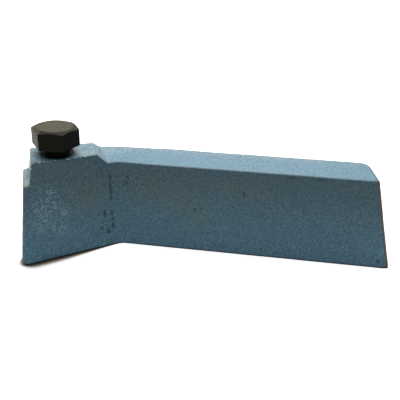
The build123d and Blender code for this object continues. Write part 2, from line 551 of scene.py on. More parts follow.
@dataclass(frozen=True)
class ForgingPaint:
    """Blue-grey paint over a drop-forged surface."""

    base: Colour = (0.080, 0.212, 0.295)
    deep: Colour = (0.024, 0.080, 0.122)
    sandy: Colour = (0.200, 0.320, 0.345)
    # Painted shade, multiplied over the near walls and strongest at their top.
    dim: Colour = (0.46, 0.45, 0.44)
    stain: Colour = (0.120, 0.130, 0.080)
    # Pale blue-grey of the painted glints.
    glint: Colour = (0.220, 0.360, 0.430)
    # Pale paint, partly worn and partly a painted sheen.
    fade_and_sheen: Colour = (0.330, 0.350, 0.290)
    # Pale chips and worn edges, also the painted highlight along the boss's rim.
    chip: Colour = (0.370, 0.440, 0.450)
    # Near-black of the pits, also the painted shade at the head's foot.
    pit_and_shade: Colour = (0.002, 0.006, 0.007)
    # Rust, also the colour of the painted shade band at the head's foot.
    rust_and_foot_shade: Colour = (0.078, 0.056, 0.040)
    grain_size: float = 0.55
    mottle_size: float = 1.5
    streak_size: float = 1.9
    wear: float = 0.50
    wear_size: float = 1.6
    relief: float = 0.14
    roughness: float = 0.45
    ior: float = 1.38

    def material(self, effects: Effects) -> bpy.types.Material:
        """Builds the paint.

        Args:
            effects: Node groups that the finishes share.

        Returns:
            The material.
        """
        material, graph, surface, place = start_material("forging_paint")
        links = material.node_tree.links
        grain = graph.group(effects.grain, {"Place": place, "Size": self.grain_size, "Lumps": 0.4})
        mottle = graph.group(effects.grain, {"Place": place, "Size": self.mottle_size, "Lumps": 0.5})
        sand = graph.span(grain.outputs["Grain"], 0.50, 0.66)
        dark = graph.span(grain.outputs["Grain"], 0.52, 0.38)
        patch = graph.span(mottle.outputs["Grain"], 0.54, 0.40)
        colour = graph.mix(graph.math("MULTIPLY", dark, 0.9), self.base, self.deep)
        colour = graph.mix(graph.math("MULTIPLY", sand, 0.75), colour, self.sandy)
        colour = graph.mix(graph.math("MULTIPLY", patch, 0.35), colour, self.deep)
        # Painted shade: the near walls darken towards their top, where less light falls than on their lower
        # part.
        colour = graph.mix(graph.attribute(Mask.WALL_TOP_SHADE), colour, self.dim, "MULTIPLY")
        mealy = graph.span(grain.outputs["Grain"], 0.44, 0.60)
        stain = graph.math("MULTIPLY", graph.attribute(Mask.STAIN), mealy)
        colour = graph.mix(stain, colour, self.stain)
        # Painted highlight: pale winding streaks inside the glint patches, standing for glints on the
        # hammered surface.
        streak = graph.span(self.crackle(graph, place), 0.085, 0.015)
        streak = graph.math("MULTIPLY", streak, graph.span(grain.outputs["Grain"], 0.34, 0.54))
        glint = graph.math("MULTIPLY", graph.attribute(Mask.GLINT), streak)
        colour = graph.mix(glint, colour, self.glint)
        # Pale paint on the ledge, the boss and the shank's far top edge: partly wear, partly a painted sheen.
        patchy = graph.span(mottle.outputs["Grain"], 0.35, 0.62)
        fade_and_sheen = graph.math("MULTIPLY", graph.attribute(Mask.FADE), patchy)
        colour = graph.mix(fade_and_sheen, colour, self.fade_and_sheen)
        edge = graph.attribute(Mask.EDGE)
        bitten = {"Place": place, "Edge": edge, "Amount": self.wear, "Size": self.wear_size}
        worn = graph.group(effects.wear, bitten).outputs[0]
        colour = graph.mix(worn, colour, self.chip)
        # Rust colour, ragged by the grain, on the lowest edges and the butt, and as painted shade at the
        # head's foot.
        half_grain = {0: grain.outputs["Height"], 1: 0.5, 2: graph.attribute(Mask.GRIME_AND_SHADE)}
        ragged = graph.node("Math", half_grain, operation="MULTIPLY_ADD")
        colour = graph.mix(graph.span(ragged.outputs[0], 0.72, 1.02), colour, self.rust_and_foot_shade)
        # Near-black pits and specks, and the painted shade strip at the head's foot.
        colour = graph.mix(graph.attribute(Mask.PIT_AND_SHADE), colour, self.pit_and_shade)
        links.new(colour, surface.inputs["Base Color"])
        rough = graph.span(grain.outputs["Grain"], 0.35, 0.65, self.roughness - 0.08, self.roughness + 0.12)
        links.new(rough, surface.inputs["Roughness"])
        relief = {"Strength": 0.6, "Distance": self.relief * MM, "Height": grain.outputs["Height"]}
        bump = graph.node("Bump", relief)
        links.new(bump.outputs[0], surface.inputs["Normal"])
        surface.inputs["IOR"].default_value = self.ior
        return material

    def crackle(self, graph: Graph, place: bpy.types.NodeSocket) -> bpy.types.NodeSocket:
        """Short winding lines.

        Args:
            graph: The paint's graph.
            place: The object's own coordinates.

        Returns:
            The distance in value from a noise's middle level, which is near 0 along the lines.
        """
        winding = graph.noise(place, 1.0 / (self.streak_size * MM), 1.0)
        middle = graph.open_math("SUBTRACT", winding, 0.5)
        return graph.node("Math", {0: middle}, operation="ABSOLUTE").outputs[0]


@dataclass(frozen=True)
class BroachedSteel:
    """Bare steel of the broached slot and the tapped hole, with faint tool lines."""

    base: Colour = (0.235, 0.225, 0.205)
    dull: Colour = (0.110, 0.100, 0.085)
    line_rise: float = 15.0
    line_turn: float = -36.0
    line_stretch: float = 0.06
    line_size: float = 0.35
    relief: float = 0.06
    roughness: float = 0.42
    metallic: float = 0.85

    def material(self, effects: Effects) -> bpy.types.Material:
        """Builds the steel.

        Args:
            effects: Node groups that the finishes share.

        Returns:
            The material.
        """
        material, graph, surface, place = start_material("broached_steel")
        links = material.node_tree.links
        turn = (0, math.radians(self.line_rise), math.radians(self.line_turn))
        along = {"Vector": place, "Rotation": turn, "Scale": (self.line_stretch, 1.0, 1.0)}
        lines = {"Place": graph.node("Mapping", along).outputs[0], "Size": self.line_size, "Lumps": 0.2}
        grain = graph.group(effects.grain, lines)
        dulled = {"Place": place, "Size": 4.0, "Low": 0.42, "High": 0.62}
        cloud = graph.group(effects.blotch, dulled).outputs[0]
        colour = graph.mix(graph.math("MULTIPLY", cloud, 0.8), self.base, self.dull)
        colour = graph.mix(graph.math("MULTIPLY", grain.outputs["Grain"], 0.5), colour, self.dull)
        links.new(colour, surface.inputs["Base Color"])
        rough = graph.span(grain.outputs["Grain"], 0.3, 0.7, self.roughness - 0.1, self.roughness + 0.15)
        links.new(rough, surface.inputs["Roughness"])
        relief = {"Strength": 0.4, "Distance": self.relief * MM, "Height": grain.outputs["Height"]}
        bump = graph.node("Bump", relief)
        links.new(bump.outputs[0], surface.inputs["Normal"])
        surface.inputs["Metallic"].default_value = self.metallic
        return material


@dataclass(frozen=True)
class BlackOxide:
    """Black oxide on the clamp screw, with a painted brown-grey sheen on its crown and painted light on the
    flat that faces left and front.
    """

    oxide: Colour = (0.0030, 0.0030, 0.0027)
    # Brown-grey painted as the crown's sheen and as light on the flat that faces left.
    sheen_brown: Colour = (0.075, 0.066, 0.040)
    bright: Colour = (0.230, 0.215, 0.170)
    tint: Colour = (1.0, 0.90, 0.70)
    grain_size: float = 0.45
    wear: float = 0.55
    wear_size: float = 0.9
    relief: float = 0.08
    roughness: float = 0.46
    ior: float = 1.16

    def material(self, effects: Effects) -> bpy.types.Material:
        """Builds the oxide.

        Args:
            effects: Node groups that the finishes share.

        Returns:
            The material.
        """
        material, graph, surface, place = start_material("black_oxide")
        links = material.node_tree.links
        grain = graph.group(effects.grain, {"Place": place, "Size": self.grain_size, "Lumps": 0.35})
        sheen_breakup = {"Place": place, "Size": 3.5, "Low": 0.38, "High": 0.62}
        cloud = graph.group(effects.blotch, sheen_breakup).outputs[0]
        # Painted sheen and light: brown-grey on the crown and on the flat that faces left, broken up by a
        # soft cloud.
        sheen = graph.attribute(Mask.SHEEN)
        broken = graph.math("MULTIPLY", sheen, graph.span(cloud, 0.0, 1.0, 0.78, 1.0))
        colour = graph.mix(broken, self.oxide, self.sheen_brown)
        dark = graph.math("MULTIPLY", graph.span(grain.outputs["Height"], 0.58, 0.40), 0.35)
        colour = graph.mix(dark, colour, self.oxide)
        edge = graph.math("MULTIPLY", graph.attribute(Mask.EDGE), graph.span(sheen, 0.0, 1.0, 0.15, 1.0))
        bitten = {"Place": place, "Edge": edge, "Amount": self.wear, "Size": self.wear_size}
        worn = graph.group(effects.wear, bitten).outputs[0]
        links.new(graph.mix(worn, colour, self.bright), surface.inputs["Base Color"])
        rough = graph.span(grain.outputs["Grain"], 0.3, 0.7, self.roughness - 0.08, self.roughness + 0.14)
        links.new(rough, surface.inputs["Roughness"])
        relief = {"Strength": 0.4, "Distance": self.relief * MM, "Height": grain.outputs["Height"]}
        bump = graph.node("Bump", relief)
        links.new(bump.outputs[0], surface.inputs["Normal"])
        surface.inputs["IOR"].default_value = self.ior
        surface.inputs["Specular Tint"].default_value = (*self.tint, 1.0)
        return material


# ---------------------------------------------------------------- the forging


@dataclass
class HolderSizes:
    """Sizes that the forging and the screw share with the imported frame."""

    shank_height: float = 38.0
    shank_width: float = 17.4
    shank_length: float = 101.8
    butt_lean: float = 14.2
    butt_skew: float = 8.5
    head_angle: float = 36.0
    head_width: float = 16.7
    inner_bend: float = 6.0
    outer_bend: float = 70.0
    nose_angle: float = 26.5
    nose_foot_reach: float = 41.1
    ledge_reach: float = 35.6
    ledge_depth: float = 2.3
    ledge_height: float = 35.0
    nose_top_reach: float = 32.0
    boss_rise: float = 4.0
    boss_slope: float = 3.0
    heel_reach: float = 7.1
    heel_steepness: float = 50.0
    boss_reach_back: float = 10.8
    boss_back_slope: float = 40.0
    ramp_slope: float = 8.0
    ramp_angle: float = 54.0
    ramp_foot: float = 5.7
    slot_size: float = 9.8
    slot_rise: float = 15.0
    slot_roof: float = 2.5
    screw_reach: float = 21.8
    screw_offset: float = 4.5
    screw_diameter: float = 12.0
    screw_length: float = 20.0
    screw_gap: float = 3.2
    hole_clearance: float = 0.05
    hole_run_out: float = 0.5

    def __post_init__(self) -> None:
        """Works out the directions and the points that the sizes imply."""
        self.corner = np.array([0.0, -self.shank_width / 2, 0.0])
        self.up = np.array([0.0, 0.0, 1.0])
        self.head = heading(self.head_angle)
        self.head_across = leftward(self.head_angle)
        self.boss = heading(self.nose_angle)
        self.boss_across = leftward(self.nose_angle)
        self.screw_axis = falling(-self.head, self.boss_slope)
        plan = self.corner + self.boss * self.screw_reach + self.boss_across * self.screw_offset
        self.seat = self.on_boss_top(plan)

    def on_boss_top(self, point: np.ndarray) -> np.ndarray:
        """Finds the boss's top above a point.

        Args:
            point: A point in plan.

        Returns:
            The point of the boss's top straight above it.
        """
        run = (point - self.corner) @ self.head
        height = self.shank_height + self.boss_rise + run * math.tan(math.radians(self.boss_slope))
        return np.array([point[0], point[1], height])


@dataclass(frozen=True)
class Mark:
    """A small mark on the near walls, where run is measured along the wall from the inner corner."""

    run: float
    height: float
    half_width: float
    half_height: float


# Runs above 0 are on the shank and below 0 on the head. They lie along the crease of the bend.
CREASE_MARKS = (
    Mark(-2.7, 31.8, 0.25, 1.9), Mark(-2.9, 28.0, 0.33, 1.3), Mark(-2.8, 25.4, 0.30, 1.1),
    Mark(-2.9, 22.6, 0.38, 0.9), Mark(-3.2, 15.8, 0.43, 1.2), Mark(-3.1, 9.6, 0.43, 1.7),
    Mark(-6.2, 16.0, 0.33, 1.7), Mark(-7.8, 9.2, 0.53, 0.8), Mark(-5.1, 6.8, 1.00, 0.5),
    Mark(-5.6, 8.0, 0.38, 0.8), Mark(-3.0, 12.8, 0.28, 0.9),
)
SHANK_MARKS = (
    Mark(4.5, 31.5, 0.60, 0.80), Mark(3.7, 29.3, 0.50, 0.65), Mark(32.1, 19.3, 0.42, 0.7),
    Mark(51.5, 28.6, 0.35, 0.8), Mark(106.6, 3.0, 0.55, 0.8),
)
DARK_RIMS = (
    Mark(69.2, 36.9, 2.4, 0.45), Mark(80.2, 37.0, 2.6, 0.40), Mark(60.0, 37.2, 1.0, 0.3),
)
STAINS = (
    Mark(32.6, 15.6, 4.5, 6.5), Mark(26.0, 24.0, 6.0, 7.0), Mark(58.7, 27.4, 4.0, 2.2),
    Mark(12.0, 27.0, 7.0, 7.0), Mark(-14.0, 26.0, 7.0, 8.0), Mark(46.0, 31.0, 9.0, 3.0),
)
# Patches on the head's near wall where pale streaks are painted as glints of the hammered surface.
GLINT_PATCHES = (
    Mark(-27.5, 31.0, 3.0, 2.2), Mark(-30.5, 24.5, 4.0, 4.0), Mark(-26.0, 25.5, 2.6, 3.0),
    Mark(-22.0, 20.6, 2.0, 1.8), Mark(-30.0, 18.0, 4.6, 4.6), Mark(-25.0, 14.0, 3.0, 4.0),
)
# Dark specks on the shank's top: place along it, place across it and radius.
TOP_SPECKS = ((48.2, 5.5, 0.45), (54.5, -4.4, 0.40), (70.5, 2.5, 0.30), (88.0, 5.2, 0.30))
# Chips along the shank's near top edge: place along it and half length.
EDGE_CHIPS = ((16.8, 1.2), (19.0, 0.8), (22.4, 1.0), (24.6, 0.7), (27.2, 1.5), (30.0, 0.8), (99.5, 1.2))


# Cosines of the angles between the normals of faces whose edge is rounded or filled.
BOSS_FOOT_COSINE = 0.8
NOSE_FOOT_COSINE = -0.13
BUTT_FAR_COSINE = 0.143


@dataclass
class ForgedBody:
    """The bent bar with its raised boss, its slot and its tapped hole, in one piece."""

    sizes: HolderSizes
    step: float = 0.5
    edge_radius: float = 0.8
    top_edge_radius: float = 0.55
    nose_foot_radius: float = 3.6
    heel_blend: float = 3.0
    ledge_blend: float = 1.0
    butt_far_radius: float = 3.6
    butt_radius: float = 1.3
    low_head_radius: float = 0.7
    boss_foot_blend: float = 0.5
    hole_chamfer: float = 0.6
    hole_facets: int = 96
    slot_corner: float = 0.35
    slot_corner_points: int = 4
    slot_ends: tuple[float, float] = (14.0, -92.0)
    pit_depth: float = 0.14
    chip_depth: float = 0.16
    least_mark: float = 0.48
    net_low: Place = (-46.5, -36.0, -2.0)
    net_high: Place = (114.0, 12.5, 48.0)
    easing_rounds: int = 4
    sharp_angle: float = 50.0

    def sides(self, points: np.ndarray) -> tuple[np.ndarray, np.ndarray]:
        """Measures the bar's two walls, bends included.

        Args:
            points: Places in millimetres.

        Returns:
            Signed distances to the near wall and to the far wall.
        """
        s = self.sizes
        flat = points * np.array([1.0, 1.0, 0.0])
        far_start = s.corner + s.head_across * s.head_width
        near = np.minimum(-(flat[:, 1] + s.shank_width / 2), beyond(flat, s.corner, -s.head_across))
        far = np.maximum(flat[:, 1] - s.shank_width / 2, beyond(flat, far_start, s.head_across))
        bisector = unit(np.array([0.0, -1.0, 0.0]) - s.head_across)
        stretch = 1.0 / math.cos(math.radians(s.head_angle / 2))
        far_corner = far_start + s.head * (s.shank_width / 2 - far_start[1]) / s.head[1]
        inner = flat - (s.corner + bisector * s.inner_bend * stretch)
        outer = flat - (far_corner + bisector * s.outer_bend * stretch)
        in_inner = (inner[:, 0] < 0) & (inner @ s.head < 0)
        in_outer = (outer[:, 0] < 0) & (outer @ s.head < 0)
        near = np.where(in_inner, s.inner_bend - np.linalg.norm(inner, axis=1), near)
        far = np.where(in_outer, np.linalg.norm(outer, axis=1) - s.outer_bend, far)
        return near, far

    def nose(self, points: np.ndarray) -> np.ndarray:
        """Measures the nose, with its ledge and the wall that stands back from it.

        Args:
            points: Places in millimetres.

        Returns:
            Signed distances.
        """
        s = self.sizes
        lean = (s.nose_foot_reach - s.ledge_reach) / s.ledge_height
        lower = beyond(points, s.corner + s.boss * s.nose_foot_reach, s.boss + s.up * lean)
        wall_foot = s.ledge_reach - s.ledge_depth
        rise = s.shank_height + s.boss_rise - s.ledge_height
        wall_lean = (wall_foot - s.nose_top_reach) / rise
        foot = s.corner + s.boss * wall_foot + s.up * s.ledge_height
        upper = beyond(points, foot, s.boss + s.up * wall_lean)
        stepped = join(upper, points[:, 2] - s.ledge_height, self.ledge_blend, wall_lean)
        return meet(lower, stepped, self.edge_radius, lean)

    def top(self, points: np.ndarray) -> np.ndarray:
        """Measures the shank's top and the raised boss with its heel and ramp.

        Args:
            points: Places in millimetres.

        Returns:
            Signed distances.
        """
        s = self.sizes
        boss_top = beyond(points, s.on_boss_top(s.corner), s.screw_axis)
        back_edge = s.on_boss_top(s.corner + s.boss * s.nose_top_reach + s.boss_across * s.boss_reach_back)
        back_normal = falling(s.boss_across, s.boss_back_slope)
        heel_normal = falling(-s.boss, s.heel_steepness)
        ramp_normal = falling(-heading(s.ramp_angle - 90), s.ramp_slope)
        heel = beyond(points, s.on_boss_top(s.corner + s.boss * s.heel_reach), heel_normal)
        ramp_foot = s.corner + np.array([-s.ramp_foot, 0.0, s.shank_height])
        ramp = beyond(points, ramp_foot, ramp_normal)
        heel_ramp = join(heel, ramp, self.heel_blend, heel_normal @ ramp_normal)
        boss = meet(boss_top, heel_ramp, self.edge_radius, s.screw_axis @ heel_normal)
        back = beyond(points, back_edge, back_normal)
        boss = meet(boss, back, self.edge_radius, s.screw_axis @ back_normal)
        return join(points[:, 2] - s.shank_height, boss, self.boss_foot_blend, BOSS_FOOT_COSINE)

    def butt(self, points: np.ndarray) -> np.ndarray:
        """Measures the leaning, skewed butt.

        Args:
            points: Places in millimetres.

        Returns:
            Signed distances.
        """
        s = self.sizes
        normal = (1.0, math.tan(math.radians(s.butt_skew)), math.tan(math.radians(s.butt_lean)))
        return beyond(points, s.corner + np.array([s.shank_length, 0.0, s.shank_height]), normal)

    def distance(self, points: np.ndarray) -> np.ndarray:
        """Measures the whole forging, before it is cut.

        Args:
            points: Places in millimetres.

        Returns:
            Signed distances.
        """
        near, far = self.sides(points)
        butt = self.butt(points)
        foot = meet(self.nose(points), -points[:, 2], self.nose_foot_radius, NOSE_FOOT_COSINE)
        end = meet(far, butt, self.butt_far_radius, BUTT_FAR_COSINE)
        shell = meet(end, foot, self.edge_radius)
        shell = meet(shell, self.top(points), self.top_edge_radius)
        radius = self.top_edge_radius + (self.butt_radius - self.top_edge_radius) * ease(butt, -3.0, -1.0)
        low_head = ease(-self.along_wall(points), 4.0, 34.0) * ease(-points[:, 2], -8.0, -3.0)
        radius = radius + (self.low_head_radius - self.top_edge_radius) * low_head
        return meet(shell, near, radius)

    def along_wall(self, points: np.ndarray) -> np.ndarray:
        """Distance along the near wall from the inner corner: above 0 on the shank, below 0 on the head."""
        return np.where(points[:, 0] < 0, -(points - self.sizes.corner) @ self.sizes.head, points[:, 0])

    def marked(self, points: np.ndarray, marks: tuple[Mark, ...], ragged: float) -> np.ndarray:
        """Masks marks on the near walls, with ragged outlines.

        Args:
            points: Places in millimetres.
            marks: The marks.
            ragged: How far the outlines wander.

        Returns:
            Values from 0 to 1.
        """
        near, _ = self.sides(points)
        run = self.along_wall(points)
        total = np.zeros(len(points))
        on_wall = ease(near, -1.2, -0.5)
        edge = swell(points, 0.9, 4.0) * ragged if ragged else 0.0
        for mark in marks:
            half_width = max(mark.half_width, self.least_mark)
            away = np.hypot((run - mark.run) / half_width, (points[:, 2] - mark.height) / mark.half_height)
            total = np.maximum(total, on_wall * ease(1.35 - away + edge, 0.0, 0.7))
        return total

    def blurred(self, points: np.ndarray, marks: tuple[Mark, ...]) -> np.ndarray:
        """Masks wide, soft marks on the near walls.

        Args:
            points: Places in millimetres.
            marks: The marks.

        Returns:
            Values from 0 to 1.
        """
        near, _ = self.sides(points)
        run = self.along_wall(points)
        total = np.zeros(len(points))
        for mark in marks:
            along = (run - mark.run) / mark.half_width
            upward = (points[:, 2] - mark.height) / mark.half_height
            total += np.exp(-(along ** 2 + upward ** 2))
        return np.clip(total, 0, 1) * ease(near, -1.2, -0.5)

    def uneven(self, points: np.ndarray) -> np.ndarray:
        """Works out how far the hammered surface stands off the plain shape.

        Args:
            points: Places in millimetres.

        Returns:
            Heights in millimetres.
        """
        broad, middling, fine = swell(points, 16.0, 1.0), swell(points, 4.5, 2.0), swell(points, 1.5, 3.0)
        hills = 0.13 * broad + 0.055 * middling + 0.022 * fine
        pits = np.zeros(len(points))
        for marks in (CREASE_MARKS, SHANK_MARKS):
            pits = np.maximum(pits, self.marked(points, marks, 0.5))
        chips = ease(bending(self.distance, points), 0.35, 0.9) * ease(swell(points, 1.8, 6.0), 0.34, 0.6)
        off_floor = ease(points[:, 2], -0.1, 1.5)
        return off_floor * hills - self.pit_depth * pits - self.chip_depth * off_floor * chips

    def slot_tool(self, steel: bpy.types.Material) -> bpy.types.Object:
        """Makes the broach that cuts the square slot, with slightly rounded corners.

        Args:
            steel: Finish of the cut faces.

        Returns:
            The tool.
        """
        s = self.sizes
        rise = math.radians(s.slot_rise)
        along = s.head * math.cos(rise) + s.up * math.sin(rise)
        roof = np.cross(s.head_across, along)
        offset = (s.seat - s.corner) @ s.head_across
        mouth_height = s.ledge_height - s.slot_roof
        mouth = s.corner + s.head_across * offset + s.head * s.ledge_reach + s.up * mouth_height
        half, corner = s.slot_size / 2, self.slot_corner
        ring = []
        for turn, quarter in enumerate(((1, 1), (-1, 1), (-1, -1), (1, -1))):
            middle = (half - corner) * np.array(quarter)
            for part in range(self.slot_corner_points):
                angle = math.radians(90 * turn + 90 / (self.slot_corner_points - 1) * part)
                ring.append(middle + corner * np.array([math.cos(angle), math.sin(angle)]))
        vertices = [
            mouth + along * at + s.head_across * u + roof * (v - half)
            for at in self.slot_ends for u, v in ring
        ]
        count = len(ring)
        faces = [[i, (i + 1) % count, count + (i + 1) % count, count + i] for i in range(count)]
        faces += [list(range(count))[::-1], list(range(count, 2 * count))]
        return self.tool("slot_tool", np.array(vertices), faces, steel)

    def hole_tool(self, steel: bpy.types.Material) -> bpy.types.Object:
        """Makes the drill that cuts the screw's hole, with its countersink.

        Args:
            steel: Finish of the cut faces.

        Returns:
            The tool.
        """
        s = self.sizes
        radius = s.screw_diameter / 2 + s.hole_clearance
        flare = self.hole_chamfer
        above = 3.0
        bottom = -s.screw_length - s.hole_run_out
        rows = ((bottom, radius), (-flare, radius), (0.0, radius + flare), (above, radius + flare + above))
        side = s.head_across
        back = np.cross(side, s.screw_axis)
        count = self.hole_facets
        turns = [2 * math.pi * i / count for i in range(count)]
        vertices = [
            s.seat + s.screw_axis * height + (back * math.cos(t) + side * math.sin(t)) * reach
            for height, reach in rows for t in turns
        ]
        faces = []
        for row in range(len(rows) - 1):
            for i in range(count):
                j = (i + 1) % count
                faces.append([row * count + i, row * count + j, (row + 1) * count + j, (row + 1) * count + i])
        faces += [list(range(count))[::-1], list(range((len(rows) - 1) * count, len(rows) * count))]
        return self.tool("hole_tool", np.array(vertices), faces, steel)

    def tool(
        self, name: str, vertices: np.ndarray, faces: list, steel: bpy.types.Material
    ) -> bpy.types.Object:
        """Makes a cutting tool whose cut faces come out as bare steel.

        Args:
            name: Name of the tool.
            vertices: Its vertices in millimetres.
            faces: Rings of vertex numbers, in either winding.
            steel: Finish of the cut faces.

        Returns:
            The tool, with its faces turned outwards.
        """
        made = make_object(name, vertices, faces)
        flip = bmesh.new()
        flip.from_mesh(made.data)
        bmesh.ops.recalc_face_normals(flip, faces=flip.faces)
        flip.to_mesh(made.data)
        flip.free()
        made.data.materials.append(steel)
        return made

    def write_masks(self, piece: bpy.types.Object) -> None:
        """Stores the finish's masks on the piece.

        Args:
            piece: The finished forging.
        """
        points = points_of(piece)
        height = points[:, 2]
        near, far = self.sides(points)
        run = self.along_wall(points)
        on_wall = ease(near, -1.4, -0.6)
        on_butt = ease(self.butt(points), -2.6, -0.9)
        sharp = bending(self.distance, points)
        bend = ease(sharp, 0.25, 1.0)
        write_mask(piece, Mask.EDGE, bend * self.edge_wear_and_highlight(points, run, on_wall, on_butt))
        # Painted shade: a near-black strip along the foot of the head's near wall, from 0.3 mm high at the
        # bend to 0.65 mm at the nose, with a rust-coloured band reaching about 0.35 mm higher, stands in for
        # the dark contact shade along the head's bottom edge.
        foot_shade_top = 0.30 + 0.35 * np.clip(-run / 34.0, 0.0, 1.0)
        on_head = on_wall * ease(-run, 0.5, 3.0)
        painted_foot_shade = on_head * ease(foot_shade_top - height, -0.30, 0.20)
        write_mask(piece, Mask.PIT_AND_SHADE, np.maximum(self.dark_marks(points), 0.92 * painted_foot_shade))
        # Rust colour in a band along the lowest 0.6 mm of every wall, darker towards the bottom, and on the
        # butt's edges.
        low_band_and_butt_edges = np.maximum(0.75 * ease(-height, -0.6, -0.1), 0.95 * on_butt * ease(sharp, 0.10, 0.40))
        rust_tinted_foot_shade = on_head * ease(foot_shade_top + 0.35 - height, -0.3, 0.3)
        write_mask(piece, Mask.GRIME_AND_SHADE, np.maximum(low_band_and_butt_edges, rust_tinted_foot_shade))
        write_mask(piece, Mask.STAIN, 0.55 * self.blurred(points, STAINS))
        # Painted glints on the head's near wall.
        write_mask(piece, Mask.GLINT, 0.7 * self.blurred(points, GLINT_PATCHES))
        # Painted shade on the near walls, from none at the floor to full at the shank's top.
        write_mask(piece, Mask.WALL_TOP_SHADE, on_wall * ease(height, 0.0, self.sizes.shank_height))
        write_mask(piece, Mask.FADE, self.pale_wear_and_sheen(points, near, far))

    def dark_marks(self, points: np.ndarray) -> np.ndarray:
        """Masks the pits, the dark rims and the specks.

        Args:
            points: Places in millimetres.

        Returns:
            Values from 0 to 1.
        """
        height = points[:, 2]
        dark = np.maximum(self.marked(points, CREASE_MARKS, 0.5), self.marked(points, SHANK_MARKS, 0.5))
        dark = np.maximum(dark, 0.6 * self.marked(points, DARK_RIMS, 0.4))
        for x, y, size in TOP_SPECKS:
            away = np.hypot(points[:, 0] - x, points[:, 1] - y)
            speck = ease(1.5 * size - away, 0.0, 0.7 * size)
            dark = np.maximum(dark, 0.8 * speck * ease(height, 36.8, 37.4))
        return dark

    def pale_wear_and_sheen(self, points: np.ndarray, near: np.ndarray, far: np.ndarray) -> np.ndarray:
        """Masks pale paint, partly worn paint and partly a painted sheen, on the ledge, the boss's lip, its
        top and the shank's far top edge.

        Args:
            points: Places in millimetres.
            near: Signed distances to the near wall.
            far: Signed distances to the far wall.

        Returns:
            Values from 0 to 1.
        """
        height = points[:, 2]
        reach = (points - self.sizes.corner) @ self.sizes.boss
        shelf = ease(reach, 32.6, 33.6) * ease(height, 34.0, 34.8) * ease(-height, -36.4, -35.6)
        lip = ease(reach, 24.0, 31.0) * ease(height, 40.5, 41.5) * ease(-near, 0.4, 1.2)
        rear = ease(height, 37.4, 37.8) * ease(far, -7.0, -0.5)
        raised = ease(height, 38.2, 38.8) * ease(-near, 0.4, 1.2) * ease(-reach, -18.0, -13.0)
        return np.maximum.reduce([0.75 * shelf, 0.45 * lip, 0.30 * rear, 0.38 * raised])

    def edge_wear_and_highlight(
        self, points: np.ndarray, run: np.ndarray, on_wall: np.ndarray, on_butt: np.ndarray
    ) -> np.ndarray:
        """Works out how worn an edge is: a little everywhere, and more on the butt and the boss's rim, where
        the pale wear is partly a painted highlight.

        Args:
            points: Places in millimetres.
            run: Distances along the near wall.
            on_wall: Mask of the near walls.
            on_butt: Mask of the butt.

        Returns:
            Values from 0 to 1.
        """
        height = points[:, 2]
        chips = np.zeros(len(points))
        for at, half in EDGE_CHIPS:
            chip = np.exp(-((points[:, 0] - at) / half) ** 2)
            chips = np.maximum(chips, chip * on_wall * ease(height, 36.8, 37.6))
        # The boss's top front edge: partly worn paint, partly a painted highlight where the edge catches the
        # light.
        rim = on_wall * ease(-run, 5.0, 8.0) * ease(height, 38.5, 40.5)
        wear = 0.25 + 0.30 * ease(swell(points, 9.0, 8.0), 0.1, 0.5)
        return np.maximum.reduce([wear, 0.7 * on_butt, 0.80 * chips, 0.88 * rim])

    def build(self, paint: bpy.types.Material, steel: bpy.types.Material) -> bpy.types.Object:
        """Builds the forging.

        Args:
            paint: Finish of the forged surface.
            steel: Finish of the slot and the hole.

        Returns:
            The piece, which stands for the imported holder_body.
        """
        low, high = np.array(self.net_low), np.array(self.net_high)
        vertices, quads = surface_net(self.distance, low, high, self.step)
        vertices = evened(self.distance, vertices, quads, self.easing_rounds)
        slope = gradient(self.distance, vertices)
        slope /= np.linalg.norm(slope, axis=1)[:, None]
        vertices = vertices + slope * self.uneven(vertices)[:, None]
        piece = make_object("forged_body", vertices, quads)
        piece.data.materials.append(paint)
        cut(piece, self.slot_tool(steel))
        cut(piece, self.hole_tool(steel))
        self.write_masks(piece)
        shade(piece, self.sharp_angle)
        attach(piece, "holder")
        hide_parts("holder_body")
        log.info("%s: %d faces", piece.name, len(piece.data.polygons))
        return piece


# ---------------------------------------------------------------- the clamp screw


